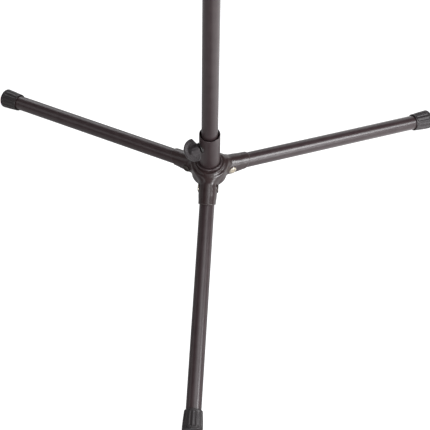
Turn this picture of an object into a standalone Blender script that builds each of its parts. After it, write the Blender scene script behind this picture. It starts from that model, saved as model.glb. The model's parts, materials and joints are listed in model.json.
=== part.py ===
"""Trumpet stand: a folding three-leg base, a clamped centre shaft and a padded bell peg.

Metres, +Z up. The origin is the centre of the flat underside of the hub's base plug, on the
shaft's axis. The leg axes all meet the shaft's axis at LEG_ORIGIN_Z.
"""

import math

import bmesh
import bpy
from mathutils import Matrix, Vector

GAP = 0.0003                     # clearance between pieces that touch
SEGMENTS = 36                    # facets round a large turned piece
SMALL_SEGMENTS = 20              # facets round a small turned piece

# Legs
LEG_ORIGIN_Z = 0.010
LEG_DROOP = math.radians(13.3)
LEG_AZIMUTHS = {"front": -90.0, "right": 30.0, "left": 150.0}
PIVOT_REACH = 0.023              # from the shaft's axis to a pivot, along the leg
LEG_RADIUS = 0.0078
TUBE_WALL = 0.0012
LEG_END = 0.2550                 # from the pivot to the tube's outer end
LEG_START = -0.0042              # the tube's inner end, just past the pivot
FLOOR_Z = LEG_ORIGIN_Z - 0.0743

# Rubber feet, measured from the pivot along the leg
FOOT_MOUTH = 0.2393
FOOT_TIP = 0.2605
FOOT_MOUTH_RADIUS = 0.0092
FOOT_RADIUS = 0.0104

# Leg pivots
BARREL_RADIUS = 0.0022
SCREW_RADIUS = 0.0012
HEAD_RADIUS = 0.0043
HEAD_SEAT = 0.00975              # from the leg's middle plane to the back of a head
HEAD_TOP = 0.0108
BARREL_END = 0.0090

# Hub
DRUM_RADIUS = 0.0180
DRUM_BOTTOM = LEG_ORIGIN_Z - 0.0090
DRUM_TOP = LEG_ORIGIN_Z + 0.0065
SHOULDER_RADIUS = 0.0145
SHOULDER_Z = LEG_ORIGIN_Z + 0.0100
ARM_REACH = 0.042                # from the shaft's axis to an arm's mouth, along the leg
MOUTH_LEAN = 0.5                 # a mouth's reach grows by this much of the height above the leg's axis
ARM_HALF_WIDTH = 0.0094
BOSS_RADIUS = 0.0052             # the raised seats round the pivots
BOSS_REACH = 0.0095
CHANNEL_HALF_WIDTH = LEG_RADIUS + GAP
CHANNEL_START = 0.0013           # from the pivot
CUT_REACH = 0.03                 # how far a hollow's cutter runs clear of the casting
POCKET_RADIUS = math.hypot(LEG_START, LEG_RADIUS) + GAP

# Collar and shaft
SHAFT_RADIUS = 0.00845
SHAFT_BOTTOM = LEG_ORIGIN_Z - 0.0050
SHAFT_TOP = LEG_ORIGIN_Z + 0.4100
SHAFT_BORE = SHAFT_RADIUS + 0.0005
COLLAR_RADIUS = 0.0109
COLLAR_BORE = 0.01025
COLLAR_BOTTOM = LEG_ORIGIN_Z + 0.0020
COLLAR_TOP = LEG_ORIGIN_Z + 0.0560
COLLAR_SEAT = COLLAR_RADIUS + GAP
FLANGE_RADIUS = 0.0133
FLANGE_TOP = LEG_ORIGIN_Z + 0.0132
LINER_TOP = LEG_ORIGIN_Z + 0.0500

# Wing knob and clamp screw, measured outwards along the screw from the shaft's axis
CLAMP_Z = LEG_ORIGIN_Z + 0.0395
CLAMP_AZIMUTH = math.radians(210.0)
CLAMP_TURN = math.radians(35.0)  # the wing's rest angle about the screw
CLAMP_RADIUS = 0.0030
CLAMP_TIP = 0.0088
CLAMP_END = 0.0195
INSERT_HOLE = 0.0046
INSERT_RADIUS = 0.0052
KNOB_INNER = 0.0124
KNOB_NECK_RADIUS = 0.0048
KNOB_NECK_END = 0.0215
WING_CENTRE = 0.0185
WING_REACH = 0.0115              # from the wing's centre to its outer edge
WING_HALF_WIDTH = 0.0126
WING_HALF_THICKNESS = 0.0019

# Bell peg
PEG_FLANGE_Z = LEG_ORIGIN_Z + 0.3000
PEG_FLANGE_RADIUS = 0.0240
PEG_FLANGE_TOP = PEG_FLANGE_Z + 0.0060
PEG_TOP = SHAFT_TOP - 0.0020
SLEEVE_RADII = (0.0135, 0.0100)  # at the bottom and at the top
COVER_THICKNESS = 0.0030
CAP_TOP = SHAFT_TOP + 0.0080


def reset_scene():
    for obj in list(bpy.data.objects):
        bpy.data.objects.remove(obj, do_unlink=True)


def material(name, colour, roughness, metallic=0.0):
    mat = bpy.data.materials.new(name)
    mat.use_nodes = True
    shader = mat.node_tree.nodes["Principled BSDF"]
    shader.inputs["Base Color"].default_value = (*colour, 1.0)
    shader.inputs["Roughness"].default_value = roughness
    shader.inputs["Metallic"].default_value = metallic
    return mat


def finished(bm):
    """Closes a built shape: merged, facing out, as a mesh."""
    bmesh.ops.remove_doubles(bm, verts=bm.verts, dist=1e-6)
    bmesh.ops.recalc_face_normals(bm, faces=bm.faces)
    mesh = bpy.data.meshes.new("shape")
    bm.to_mesh(mesh)
    bm.free()
    return mesh


def turned(profile, segments=SEGMENTS, matrix=Matrix()):
    """Spins a profile of (radius, height) points about Z. It closes itself unless it ends on the axis."""
    bm = bmesh.new()
    points = [bm.verts.new((radius, 0.0, height)) for radius, height in profile]
    edges = [bm.edges.new(pair) for pair in zip(points, points[1:])]
    if profile[0][0] > 0.0 or profile[-1][0] > 0.0:
        edges.append(bm.edges.new((points[-1], points[0])))
    bmesh.ops.spin(bm, geom=points + edges, cent=(0, 0, 0), axis=(0, 0, 1), dvec=(0, 0, 0),
                   angle=math.tau, steps=segments, use_merge=True)
    bmesh.ops.transform(bm, matrix=matrix, verts=bm.verts)
    return finished(bm)


def rod(radius, start, end, segments=SMALL_SEGMENTS, matrix=Matrix()):
    return turned([(0.0, start), (radius, start), (radius, end), (0.0, end)], segments, matrix)


def pipe(outer, inner, start, end, segments=SEGMENTS, matrix=Matrix()):
    profile = [(outer, start), (outer, end), (inner, end), (inner, start)]
    return turned(profile, segments, matrix)


def block(low, high, matrix=Matrix()):
    bm = bmesh.new()
    bmesh.ops.create_cube(bm, size=1.0)
    low, high = Vector(low), Vector(high)
    scale = Matrix.Diagonal((*(high - low), 1.0))
    bmesh.ops.transform(bm, matrix=matrix @ Matrix.Translation((low + high) / 2) @ scale, verts=bm.verts)
    return finished(bm)


def lofted(sections, matrix=Matrix()):
    """Skins a row of matching closed outlines and caps both ends."""
    bm = bmesh.new()
    rings = [[bm.verts.new(point) for point in section] for section in sections]
    count = len(rings[0])
    for near, far in zip(rings, rings[1:]):
        for i in range(count):
            j = (i + 1) % count
            bm.faces.new((near[i], near[j], far[j], far[i]))
    bm.faces.new(rings[0])
    bm.faces.new(rings[-1])
    bmesh.ops.transform(bm, matrix=matrix, verts=bm.verts)
    return finished(bm)


def combined(base, tools, operation, solver="EXACT"):
    """Applies one Boolean after another to a mesh and returns the result."""
    target = bpy.data.objects.new("work", base)
    bpy.context.scene.collection.objects.link(target)
    helpers = []
    for tool in tools:
        helper = bpy.data.objects.new("tool", tool)
        bpy.context.scene.collection.objects.link(helper)
        helpers.append(helper)
        step = target.modifiers.new("step", "BOOLEAN")
        step.operation = operation
        step.solver = solver
        step.object = helper
    graph = bpy.context.evaluated_depsgraph_get()
    result = bpy.data.meshes.new_from_object(target.evaluated_get(graph))
    for obj in [target, *helpers]:
        bpy.data.objects.remove(obj, do_unlink=True)
    return result


def cut(base, *tools):
    return combined(base, tools, "DIFFERENCE")


def joined(base, *tools):
    return combined(base, tools, "UNION")


def pivot_frame(name, matrix):
    empty = bpy.data.objects.new(name, None)
    empty.matrix_world = matrix
    bpy.context.scene.collection.objects.link(empty)
    return empty


def piece(name, mesh, mat, parent=None):
    """Adds a finished sub-part, smooth except at its real edges."""
    mesh = mesh.copy()
    mesh.name = name
    mesh.materials.clear()
    mesh.materials.append(mat)
    mesh.shade_smooth()
    mesh.set_sharp_from_angle(angle=math.radians(35.0))
    obj = bpy.data.objects.new(name, mesh)
    obj.parent = parent
    bpy.context.scene.collection.objects.link(obj)
    return obj


def leg_matrix(azimuth, reach=PIVOT_REACH):
    """A leg's frame: X outwards along the leg, Y across it, Z up from it."""
    turn = Matrix.Rotation(math.radians(azimuth), 4, "Z")
    droop = Matrix.Rotation(LEG_DROOP, 4, "Y")
    return Matrix.Translation((0, 0, LEG_ORIGIN_Z)) @ turn @ droop @ Matrix.Translation((reach, 0, 0))


def clamp_matrix():
    """The clamp screw's frame: X outwards along the screw, Y along the wing's width."""
    turn = Matrix.Rotation(CLAMP_AZIMUTH, 4, "Z")
    return Matrix.Translation((0, 0, CLAMP_Z)) @ turn @ Matrix.Rotation(-CLAMP_TURN, 4, "X")


ALONG_X = Matrix.Rotation(math.radians(90.0), 4, "Y")
ALONG_Y = Matrix.Rotation(math.radians(-90.0), 4, "X")


def arch(along, half_width, height, depth, steps=10):
    """An outline across a leg: half an ellipse on top of straight sides."""
    angles = [math.pi * i / steps for i in range(steps + 1)]
    curve = [(along, half_width * math.cos(a), height * math.sin(a)) for a in angles]
    return [(along, half_width, -depth), *curve, (along, -half_width, -depth)]


def hub_arm(matrix):
    """The outside of one arm, from inside the drum to its mouth; it rises and deepens near the drum."""
    stations = ((0.004, 0.0115, 0.0060), (0.013, 0.0110, 0.0060), (0.019, 0.0104, 0.0056),
                (0.025, 0.0100, 0.0050), (0.031, 0.0096, 0.0040), (0.036, 0.0094, 0.0034),
                (ARM_REACH, ARM_HALF_WIDTH, 0.0028))
    sections = [arch(s, ARM_HALF_WIDTH, height, depth) for s, height, depth in stations]
    sections[-1] = [(x + MOUTH_LEAN * z, y, z) for x, y, z in sections[-1]]
    return lofted(sections, matrix)


def pivot_hole(matrix=Matrix()):
    return rod(BARREL_RADIUS + GAP, -0.012, 0.012, SMALL_SEGMENTS, matrix @ ALONG_Y)


def leg_pocket(matrix):
    """The hollow that a leg's inner end turns in: a ball with flat sides, about the pivot."""
    half_width = CHANNEL_HALF_WIDTH - 0.00005
    steps = 6
    heights = [half_width * (2 * i / steps - 1) for i in range(steps + 1)]
    curve = [(math.sqrt(POCKET_RADIUS ** 2 - y * y), y) for y in heights]
    return turned([(0.0, -half_width), *curve, (0.0, half_width)], SMALL_SEGMENTS, matrix @ ALONG_Y)


def hub_casting():
    drum = turned([
        (0.0, DRUM_BOTTOM), (DRUM_RADIUS - 0.0015, DRUM_BOTTOM),
        (DRUM_RADIUS - 0.0004, DRUM_BOTTOM + 0.0004), (DRUM_RADIUS, DRUM_BOTTOM + 0.0015),
        (DRUM_RADIUS, DRUM_TOP - 0.0015), (DRUM_RADIUS - 0.0004, DRUM_TOP - 0.0004),
        (DRUM_RADIUS - 0.0013, DRUM_TOP + 0.0002), (SHOULDER_RADIUS + 0.0008, DRUM_TOP + 0.0014),
        (SHOULDER_RADIUS, SHOULDER_Z - 0.0006), (SHOULDER_RADIUS - 0.0005, SHOULDER_Z), (0.0, SHOULDER_Z),
    ])
    solids, hollows = [], []
    for azimuth in LEG_AZIMUTHS.values():
        pivot = leg_matrix(azimuth)
        solids.append(hub_arm(leg_matrix(azimuth, 0.0)))
        solids.append(rod(BOSS_RADIUS, -BOSS_REACH, BOSS_REACH, SMALL_SEGMENTS, pivot @ ALONG_Y))
        width = CHANNEL_HALF_WIDTH
        channel = [arch(s, width, width, CUT_REACH) for s in (CHANNEL_START, ARM_REACH)]
        hollows.append(lofted(channel, pivot))
        hollows.append(leg_pocket(pivot))
        below = Matrix.Translation(pivot.translation)
        hollows.append(rod(width, -CUT_REACH, 0.0, SMALL_SEGMENTS, below))
        hollows.append(pivot_hole(pivot))
    hollows.append(rod(COLLAR_SEAT, COLLAR_BOTTOM - GAP, SHOULDER_Z + 0.01))
    hollows.append(rod(SHAFT_BORE, DRUM_BOTTOM - 0.01, SHOULDER_Z - 0.002))
    solid = combined(drum, solids, "UNION", "MANIFOLD")
    return combined(solid, hollows, "DIFFERENCE", "MANIFOLD")


def hub_base_plug():
    stem, lip = SHAFT_BORE - GAP, 0.0007
    return turned([(0.0, 0.0), (0.0098, 0.0), (0.0100, 0.0002), (0.0100, lip), (stem, lip),
                   (stem, 0.0030), (0.0, 0.0030)])


def collar_flange():
    low = SHOULDER_Z + GAP
    return turned([(COLLAR_SEAT, low), (FLANGE_RADIUS, low), (FLANGE_RADIUS, FLANGE_TOP - 0.0008),
                   (FLANGE_RADIUS - 0.0004, FLANGE_TOP - 0.0002), (FLANGE_RADIUS - 0.0012, FLANGE_TOP),
                   (COLLAR_SEAT, FLANGE_TOP)])


def clamp_hole():
    return rod(INSERT_HOLE, 0.006, 0.014, SMALL_SEGMENTS, clamp_matrix() @ ALONG_X)


def collar_tube():
    edge = 0.0003
    wall = turned([(COLLAR_RADIUS, COLLAR_BOTTOM), (COLLAR_RADIUS, COLLAR_TOP - edge),
                   (COLLAR_RADIUS - edge, COLLAR_TOP), (COLLAR_BORE, COLLAR_TOP),
                   (COLLAR_BORE, COLLAR_BOTTOM)])
    return cut(wall, clamp_hole())


def collar_liner():
    wall = pipe(COLLAR_BORE - GAP, SHAFT_RADIUS + GAP, COLLAR_BOTTOM, LINER_TOP)
    return cut(wall, clamp_hole())


def clamp_insert():
    bore = CLAMP_RADIUS + GAP
    body = INSERT_HOLE - GAP
    low, seat, top = SHAFT_RADIUS + 0.0006, COLLAR_RADIUS + 0.00045, KNOB_INNER - 0.0005
    return turned([(bore, low), (body, low), (body, seat), (INSERT_RADIUS, seat), (INSERT_RADIUS, top - GAP),
                   (INSERT_RADIUS - GAP, top), (bore, top)], SMALL_SEGMENTS, ALONG_X)


def clamp_screw():
    point = 0.0006
    return turned([(0.0, CLAMP_TIP), (CLAMP_RADIUS - point, CLAMP_TIP), (CLAMP_RADIUS, CLAMP_TIP + point),
                   (CLAMP_RADIUS, CLAMP_END), (0.0, CLAMP_END)], SMALL_SEGMENTS, ALONG_X)


def wing_outline(steps=22):
    """The wing's edge: straight flanks from the neck to two corners, then one broad arc."""
    corner = math.radians(112.0)
    angles = [corner - 2 * corner * i / steps for i in range(steps + 1)]
    arc = [(WING_CENTRE + WING_REACH * math.cos(a), WING_HALF_WIDTH * math.sin(a)) for a in angles]
    neck = KNOB_NECK_RADIUS - 0.0006
    return [(KNOB_INNER + 0.0002, neck), *arc, (KNOB_INNER + 0.0002, -neck)]


def wing_knob():
    edge = 0.0006
    thickness = WING_HALF_THICKNESS
    inset = (WING_HALF_WIDTH - edge) / WING_HALF_WIDTH
    levels = ((-thickness, inset), (edge - thickness, 1.0), (thickness - edge, 1.0), (thickness, inset))
    sections = []
    for height, scale in levels:
        section = [(WING_CENTRE + (x - WING_CENTRE) * scale, y * scale, height) for x, y in wing_outline()]
        sections.append(section)
    neck = turned([(0.0, KNOB_INNER), (KNOB_NECK_RADIUS, KNOB_INNER), (KNOB_NECK_RADIUS, 0.0165),
                   (0.0030, KNOB_NECK_END), (0.0, KNOB_NECK_END)], SMALL_SEGMENTS, ALONG_X)
    socket = rod(CLAMP_RADIUS + GAP, KNOB_INNER - 0.002, CLAMP_END + GAP, SMALL_SEGMENTS, ALONG_X)
    return cut(joined(lofted(sections), neck), socket)


def leg_tube():
    wall = pipe(LEG_RADIUS, LEG_RADIUS - TUBE_WALL, LEG_START, LEG_END, SEGMENTS, ALONG_X)
    return cut(wall, pivot_hole())


def leg_bush():
    """The nylon plug that stops the pivot from crushing the tube."""
    outer = LEG_RADIUS - TUBE_WALL - GAP
    return cut(rod(outer, LEG_START, 0.012, 28, ALONG_X), pivot_hole())


def pivot_barrel():
    """The hollow half of a leg's pivot, with its head on the leg's +Y side."""
    bore = SCREW_RADIUS + GAP
    return turned([(0.0, HEAD_TOP), (HEAD_RADIUS - 0.0010, HEAD_TOP), (HEAD_RADIUS, HEAD_TOP - 0.0005),
                   (HEAD_RADIUS, HEAD_SEAT), (BARREL_RADIUS, HEAD_SEAT), (BARREL_RADIUS, -BARREL_END),
                   (bore, -BARREL_END), (bore, 0.0060), (0.0, 0.0060)], SMALL_SEGMENTS, ALONG_Y)


def pivot_screw():
    """The screw that closes a pivot barrel, with its head on the leg's -Y side."""
    head = turned([(0.0, 0.0055), (SCREW_RADIUS, 0.0055), (SCREW_RADIUS, -HEAD_SEAT),
                   (HEAD_RADIUS, -HEAD_SEAT), (HEAD_RADIUS, 0.0005 - HEAD_TOP),
                   (HEAD_RADIUS - 0.0010, -HEAD_TOP), (0.0, -HEAD_TOP)], SMALL_SEGMENTS, ALONG_Y)
    slot = block((-0.0030, -HEAD_TOP - 0.001, -0.0005), (0.0030, 0.0006 - HEAD_TOP, 0.0005))
    return cut(head, slot)


def foot():
    """A rubber cup on the tube's end, worn flat where it meets the floor."""
    bore = LEG_RADIUS + GAP
    bottom = LEG_END + 0.0005
    cup = turned([
        (0.0, FOOT_TIP), (FOOT_RADIUS - 0.0019, FOOT_TIP), (FOOT_RADIUS - 0.0007, FOOT_TIP - 0.0004),
        (FOOT_RADIUS - 0.0002, FOOT_TIP - 0.0010), (FOOT_RADIUS, FOOT_TIP - 0.0018),
        (FOOT_RADIUS, FOOT_TIP - 0.0040), (FOOT_RADIUS - 0.0005, FOOT_MOUTH + 0.0100),
        (FOOT_MOUTH_RADIUS, FOOT_MOUTH), (bore, FOOT_MOUTH), (bore, bottom), (0.0, bottom),
    ], 28, ALONG_X)
    ground = block((-1.0, -1.0, FLOOR_Z - 0.1), (1.0, 1.0, FLOOR_Z), leg_matrix(0.0).inverted())
    return cut(cup, ground)


def shaft_tube():
    return pipe(SHAFT_RADIUS, SHAFT_RADIUS - TUBE_WALL, SHAFT_BOTTOM, SHAFT_TOP)


def shaft_end_plug():
    stem = SHAFT_RADIUS - TUBE_WALL - GAP
    low = SHAFT_BOTTOM - 0.0015
    lip = SHAFT_BOTTOM - GAP
    return turned([(0.0, low), (0.0072, low), (0.0077, low + 0.0005), (0.0077, lip), (stem, lip),
                   (stem, SHAFT_BOTTOM + 0.012), (0.0, SHAFT_BOTTOM + 0.012)], 32)


def peg_flange():
    bore = SHAFT_RADIUS + GAP
    low = PEG_FLANGE_Z
    return turned([(bore, low - 0.008), (0.0110, low - 0.008), (0.0122, low - 0.0005), (0.0140, low + 0.0008),
                   (PEG_FLANGE_RADIUS - 0.0012, low + 0.0022), (PEG_FLANGE_RADIUS, low + 0.0034),
                   (PEG_FLANGE_RADIUS, PEG_FLANGE_TOP - 0.0010), (PEG_FLANGE_RADIUS - 0.0010, PEG_FLANGE_TOP),
                   (bore, PEG_FLANGE_TOP)])


def bell_pad():
    low = PEG_FLANGE_TOP + GAP
    inner = SLEEVE_RADII[0] + COVER_THICKNESS + 0.0010
    outer = PEG_FLANGE_RADIUS - 0.0010
    return turned([(inner, low), (outer, low), (outer, low + 0.0020), (outer - 0.0008, low + 0.0030),
                   (inner, low + 0.0030)])


def peg_sleeve():
    low = PEG_FLANGE_TOP + GAP
    bottom, top = SLEEVE_RADII
    bore = SHAFT_RADIUS + GAP
    return turned([(bore, low), (bottom, low), (top, PEG_TOP), (bore, PEG_TOP)])


def peg_cover():
    """The padded sleeve on the peg, plumper in its middle than a plain cone."""
    low = PEG_FLANGE_TOP + 2 * GAP
    high = PEG_TOP
    steps = 5
    inner, outer = [], []
    for i in range(steps + 1):
        share = i / steps
        height = low + (high - low) * share
        core = SLEEVE_RADII[0] + (SLEEVE_RADII[1] - SLEEVE_RADII[0]) * share
        swell = COVER_THICKNESS * (0.72 + 0.28 * math.sin(math.pi * share) ** 0.5)
        inner.append((core + GAP, height))
        outer.append((core + GAP + swell, height))
    return turned(outer + inner[::-1])


def peg_tip_cap():
    stem = SHAFT_RADIUS - TUBE_WALL - GAP
    low = SHAFT_TOP + GAP
    dome = [(0.0060, CAP_TOP), (0.0092, CAP_TOP - 0.0008), (0.0115, CAP_TOP - 0.0026),
            (0.0124, CAP_TOP - 0.0048), (0.0124, low)]
    return turned([(0.0, CAP_TOP), *dome, (stem, low), (stem, SHAFT_TOP - 0.015), (0.0, SHAFT_TOP - 0.015)])


def build_hub(mats):
    piece("hub_casting", hub_casting(), mats["coat"])
    piece("hub_base_plug", hub_base_plug(), mats["moulded"])
    piece("collar_flange", collar_flange(), mats["coat"])
    piece("collar_tube", collar_tube(), mats["coat"])
    piece("collar_liner", collar_liner(), mats["moulded"])


def build_clamp(mats):
    frame = pivot_frame("clamp_axis", clamp_matrix())
    piece("clamp_insert", clamp_insert(), mats["coat"], frame)
    piece("clamp_screw", clamp_screw(), mats["zinc"], frame)
    piece("wing_knob", wing_knob(), mats["moulded"], frame)


def build_legs(mats):
    shapes = {
        "leg_tube": (leg_tube(), "coat"),
        "leg_bush": (leg_bush(), "moulded"),
        "pivot_barrel": (pivot_barrel(), "zinc"),
        "pivot_screw": (pivot_screw(), "zinc"),
        "foot": (foot(), "rubber"),
    }
    for side, azimuth in LEG_AZIMUTHS.items():
        frame = pivot_frame(f"{side}_leg_pivot", leg_matrix(azimuth))
        for name, (mesh, finish) in shapes.items():
            piece(f"{side}_{name}", mesh, mats[finish], frame)


def build_shaft(mats):
    frame = pivot_frame("shaft_axis", Matrix())
    piece("shaft_tube", shaft_tube(), mats["coat"], frame)
    piece("shaft_end_plug", shaft_end_plug(), mats["moulded"], frame)
    piece("peg_flange", peg_flange(), mats["moulded"], frame)
    piece("peg_sleeve", peg_sleeve(), mats["moulded"], frame)
    piece("peg_cover", peg_cover(), mats["velour"], frame)
    piece("bell_pad", bell_pad(), mats["velour"], frame)
    piece("peg_tip_cap", peg_tip_cap(), mats["moulded"], frame)


def main():
    reset_scene()
    mats = {
        "coat": material("powder_coat", (0.052, 0.044, 0.045), 0.42, 0.35),
        "moulded": material("moulded_plastic", (0.060, 0.056, 0.058), 0.50),
        "rubber": material("foot_rubber", (0.040, 0.038, 0.039), 0.72),
        "zinc": material("zinc_plate", (0.68, 0.63, 0.55), 0.30, 1.0),
        "velour": material("velour", (0.020, 0.020, 0.022), 0.95),
    }
    build_hub(mats)
    build_clamp(mats)
    build_legs(mats)
    build_shaft(mats)


main()
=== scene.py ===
"""Looks of the folding trumpet stand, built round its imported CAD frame. Metres, +Z up."""

import json
import math

import bmesh
import bpy
import numpy as np
from mathutils import Matrix, Vector


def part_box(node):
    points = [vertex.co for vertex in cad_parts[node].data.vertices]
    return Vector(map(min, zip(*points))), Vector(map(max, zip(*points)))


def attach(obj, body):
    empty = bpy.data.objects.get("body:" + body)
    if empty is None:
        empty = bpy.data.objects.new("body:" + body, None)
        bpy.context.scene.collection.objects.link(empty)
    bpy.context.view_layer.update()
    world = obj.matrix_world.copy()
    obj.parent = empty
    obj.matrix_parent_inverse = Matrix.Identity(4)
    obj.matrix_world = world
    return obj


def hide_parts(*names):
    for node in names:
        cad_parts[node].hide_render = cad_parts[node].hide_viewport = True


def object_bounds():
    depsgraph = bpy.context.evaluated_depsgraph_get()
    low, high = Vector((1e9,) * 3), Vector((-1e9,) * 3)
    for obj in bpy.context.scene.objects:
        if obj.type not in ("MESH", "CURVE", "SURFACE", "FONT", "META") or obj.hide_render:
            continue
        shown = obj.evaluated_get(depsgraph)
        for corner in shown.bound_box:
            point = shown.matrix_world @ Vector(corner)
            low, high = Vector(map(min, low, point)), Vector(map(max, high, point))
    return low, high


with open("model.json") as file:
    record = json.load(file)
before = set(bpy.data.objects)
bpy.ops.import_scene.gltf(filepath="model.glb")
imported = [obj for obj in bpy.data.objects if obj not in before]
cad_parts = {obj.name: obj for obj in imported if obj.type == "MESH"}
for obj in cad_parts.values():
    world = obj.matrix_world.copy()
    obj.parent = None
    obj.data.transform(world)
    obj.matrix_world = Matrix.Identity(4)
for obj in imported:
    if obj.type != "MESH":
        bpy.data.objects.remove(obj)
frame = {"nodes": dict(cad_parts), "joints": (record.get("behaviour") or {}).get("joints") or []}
cad_low, cad_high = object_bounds()

MM = 0.001
ROUND = 96                       # facets round a tube
JOINTS = {joint["name"]: joint for joint in frame["joints"]}
SIDES = ("front", "right", "left")

# Tubes
TUBE_WALL = 1.2 * MM
COLLAR_BORE = 10.25 * MM
COLLAR_SEAT = 11.2 * MM          # radius of the hub's seat for the collar, and of the ring's bore

# Arms and leg pivots
LEG_DROOP = math.radians(13.3)
PIVOT_REACH = 23.0 * MM          # from the shaft's axis to a leg pivot, along the leg
ARM_REACH = 41.2 * MM            # from the shaft's axis to an arm's mouth, along the leg
MOUTH_LEAN = 0.5                 # how far an arm's mouth leans outwards with height
LEG_ROOM = 8.1 * MM              # half the width of the hollow that a leg folds in
PIVOT_HOLE = 2.5 * MM
BOSS_RADIUS = 5.2 * MM           # the raised seats round the pivots
BOSS_REACH = 9.5 * MM

# Clamp
KNOB_TURN = math.radians(35.0)   # the wing's rest angle about the clamp screw
KNOB_FACE = 12.4 * MM            # from the shaft's axis to the knob's inner face
SCREW_HOLE = 3.3 * MM
SCREW_RADIUS = 3.0 * MM
SCREW_PITCH = 1.0 * MM
THREAD_DEPTH = 0.38 * MM

# Feet
FOOT_RIBS = 16
RIB_DEPTH = 0.6 * MM
FOOT_BORE = 8.1 * MM
FOOT_BORE_DEPTH = 16.2 * MM
FOOT_LENGTH = 20.9 * MM          # from the mouth to the sole
FOOT_SHOULDER = 1.5 * MM
FOOT_GROOVE = 18.7 * MM          # from the mouth

# Bell peg
SLEEVE_RADII = (13.5, 10.0)      # mm, at the bottom and at the top
COVER_THICKNESS = 3.0 * MM

# Camera, set from the point where the leg axes meet the shaft's axis
CAMERA_ELEVATION = math.radians(53.398)
CAMERA_AZIMUTH = math.radians(2.417)
CAMERA_DISTANCE = 1.695242
CAMERA_ROLL = math.radians(1.032)
CAMERA_LENS = 130.6
CAMERA_TARGET = (6.82 * MM, 0.0, -81.794 * MM)

# Studio: name, azimuth, elevation, distance, size, watts
LIGHTS = (
    ("key", -10.0, 30.0, 1.6, (0.56, 0.56), 15.4),
    ("key_low", -30.0, 10.0, 1.6, (0.56, 0.56), 6.7),
    ("key_high", -10.0, 50.0, 1.6, (0.56, 0.56), 1.8),
    ("front_right", -50.0, 10.0, 1.6, (0.56, 0.56), 1.0),
    ("front", -90.0, 25.0, 1.6, (0.8, 0.5), 13.8),
    ("left_front", -150.0, 30.0, 1.6, (0.7, 0.6), 1.6),
    ("left", 180.0, 20.0, 1.6, (0.8, 0.6), 1.25),
    ("left_back", 150.0, 40.0, 1.6, (0.7, 0.6), 0.22),
    ("back_left", 110.0, 15.0, 1.8, (1.1, 0.7), 6.0),
    ("back_right", 70.0, 15.0, 1.8, (1.1, 0.7), 3.5),
    ("top_back", 90.0, 70.0, 1.6, (0.56, 0.56), 0.75),
    ("top_left", 180.0, 70.0, 1.6, (0.56, 0.56), 0.44),
    ("overhead", 0.0, 70.0, 1.6, (0.56, 0.56), 3.8),
    ("zenith", 0.0, 89.0, 1.6, (0.6, 0.6), 1.8),
)
LIGHT_COLOUR = (0.97, 0.98, 1.0)
FLOOR_GREY = (0.35, 0.35, 0.35)
FLOOR_GLOW = 0.95                # what the camera sees of the floor

# What the stand sees of the floor: an axis, where its glow starts and stops growing, and by how much
FLOOR_BOUNCE = (("X", 0.0, 0.18, 0.75), ("Y", -0.20, 0.25, 0.28))


# ---------------------------------------------------------------- frame helpers

def points_of(node):
    """The vertices of a CAD node."""
    return np.array([v.co for v in frame["nodes"][node].data.vertices], float)


def span(node, matrix, axis):
    """Lowest and highest place of a CAD node along one axis of a local frame."""
    inverse = matrix.inverted()
    local = points_of(node) @ np.array(inverse.to_3x3()).T + np.array(inverse.translation)
    return local[:, axis].min(), local[:, axis].max()


def leg_frame(side):
    """A leg's frame at its pivot: X outwards along the leg, Y along the hinge, Z up from it."""
    joint = JOINTS[f"{side}_leg_fold"]
    across = Vector(joint["axis"]).normalized()
    outward = across.cross(Vector((0, 0, 1)))
    along = outward * math.cos(LEG_DROOP) - Vector((0, 0, 1)) * math.sin(LEG_DROOP)
    up = along.cross(across)
    matrix = Matrix((along, across, up)).transposed().to_4x4()
    matrix.translation = Vector(joint["pos_m"])
    return matrix


def clamp_frame():
    """The clamp screw's frame on the shaft's axis: X outwards, Y along the wing's width at rest."""
    joint = JOINTS["knob_turn"]
    axis = Vector(joint["axis"]).normalized()
    turn = Matrix.Rotation(math.atan2(axis.y, axis.x), 4, "Z")
    return Matrix.Translation(Vector(joint["pos_m"])) @ turn @ Matrix.Rotation(-KNOB_TURN, 4, "X")


LEG_FRAMES = {side: leg_frame(side) for side in SIDES}
CLAMP_FRAME = clamp_frame()
LEG_ORIGIN_Z = LEG_FRAMES["front"].translation.z + PIVOT_REACH * math.sin(LEG_DROOP)
ALONG_X = Matrix.Rotation(math.radians(90.0), 4, "Y")
ALONG_Y = Matrix.Rotation(math.radians(-90.0), 4, "X")


# ---------------------------------------------------------------- mesh helpers

def add_mesh(name, vertices, faces, mat, body, replaces=(), sharp=40.0, slot=None):
    """Makes one visible piece that rides on a body and stands for some CAD nodes."""
    mesh = bpy.data.meshes.new(name)
    mesh.from_pydata([tuple(v) for v in vertices], [], [tuple(int(i) for i in f) for f in faces])
    mesh.materials.append(mat)
    mesh.shade_smooth()
    if sharp:
        mesh.set_sharp_from_angle(angle=math.radians(sharp))
    obj = bpy.data.objects.new(name, mesh)
    bpy.context.scene.collection.objects.link(obj)
    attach(obj, body)
    if replaces:
        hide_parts(*replaces)
    return obj


def circle(radius, count, height=0.0):
    """Points round the Z axis."""
    turns = [math.tau * i / count for i in range(count)]
    return [(radius * math.cos(turn), radius * math.sin(turn), height) for turn in turns]


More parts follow.
